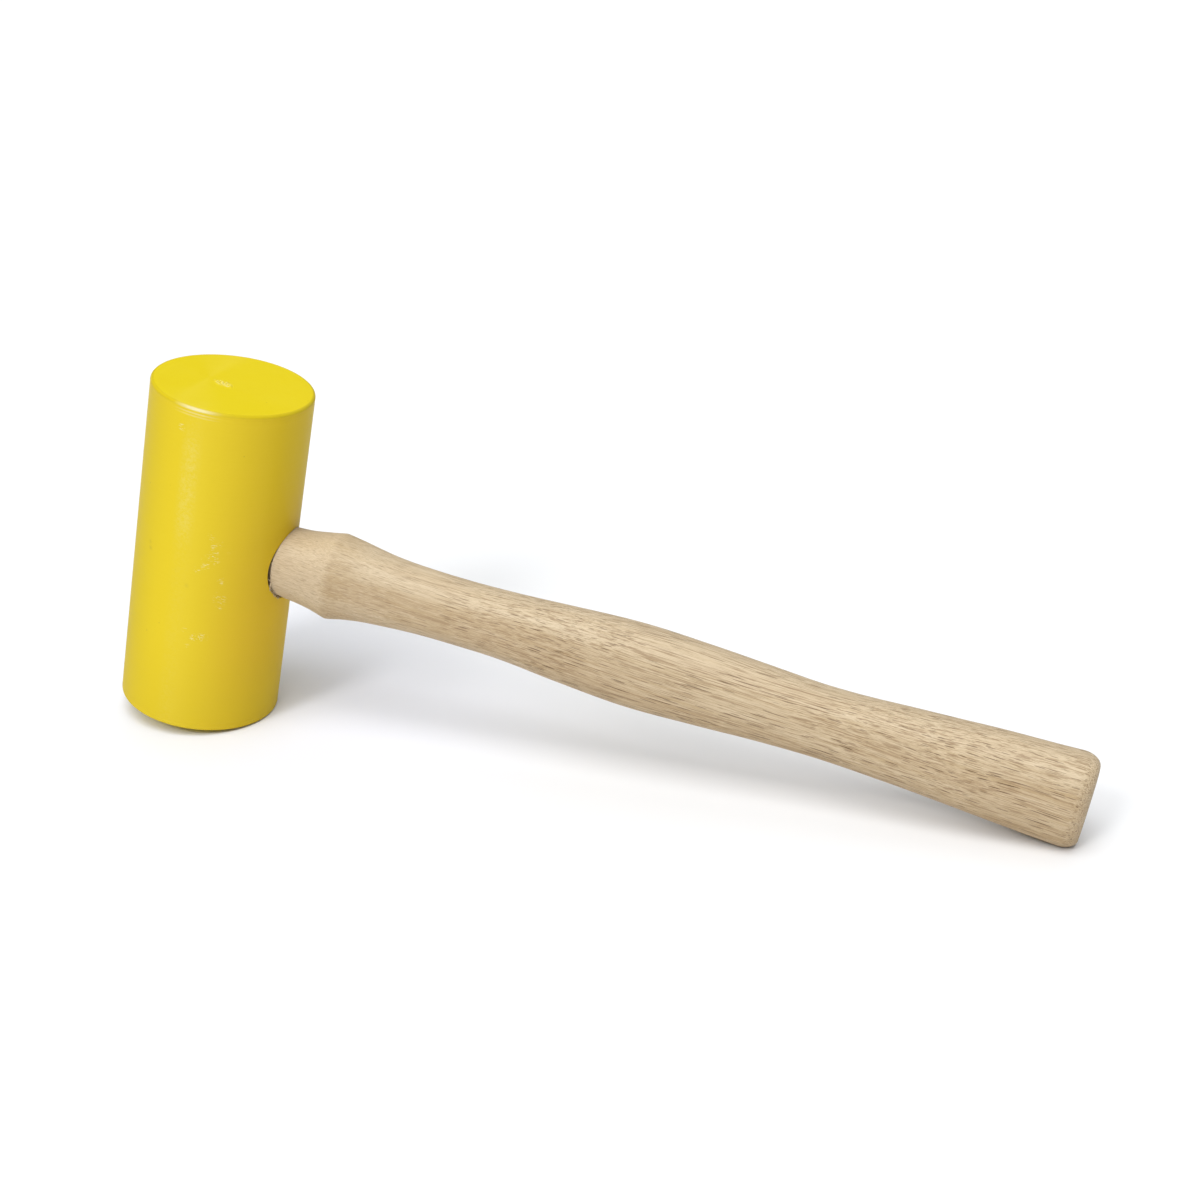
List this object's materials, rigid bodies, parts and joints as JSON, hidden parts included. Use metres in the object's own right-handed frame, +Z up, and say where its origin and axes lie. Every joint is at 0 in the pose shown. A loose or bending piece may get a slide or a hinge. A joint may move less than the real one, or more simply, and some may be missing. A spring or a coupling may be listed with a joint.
{
  "type": "mallet",
  "caption": "Mallet with a turned plastic cylinder head on a curved wooden hammer handle, wedged in a through eye.",
  "frame": {"origin": "on the ground, under the centre of the resting tool's bounding box", "axes": "+Z up, +X along the ground from the head towards the butt of the handle, +Y across the handle. The tool is stored as it lies at rest, on the lower rim of its head and the lower edge of its butt, with its handle 8.58 degrees below level."},
  "size_m": [0.3948, 0.0636, 0.145],
  "materials": {
    "head_plastic": "satin yellow polyethylene, turned, lightly scuffed",
    "handle_wood": "pale straight-grained hardwood with open pores, sanded, bare or thinly sealed",
    "wedge_wood": "browner hardwood, end grain",
    "wedge_steel": "mild steel, dull, struck"
  },
  "bodies": {
    "root": {"head": "head_plastic", "handle": "handle_wood", "wooden_wedge": "wedge_wood", "steel_wedge_upper": "wedge_steel", "steel_wedge_lower": "wedge_steel"}
  },
  "joints": []
}
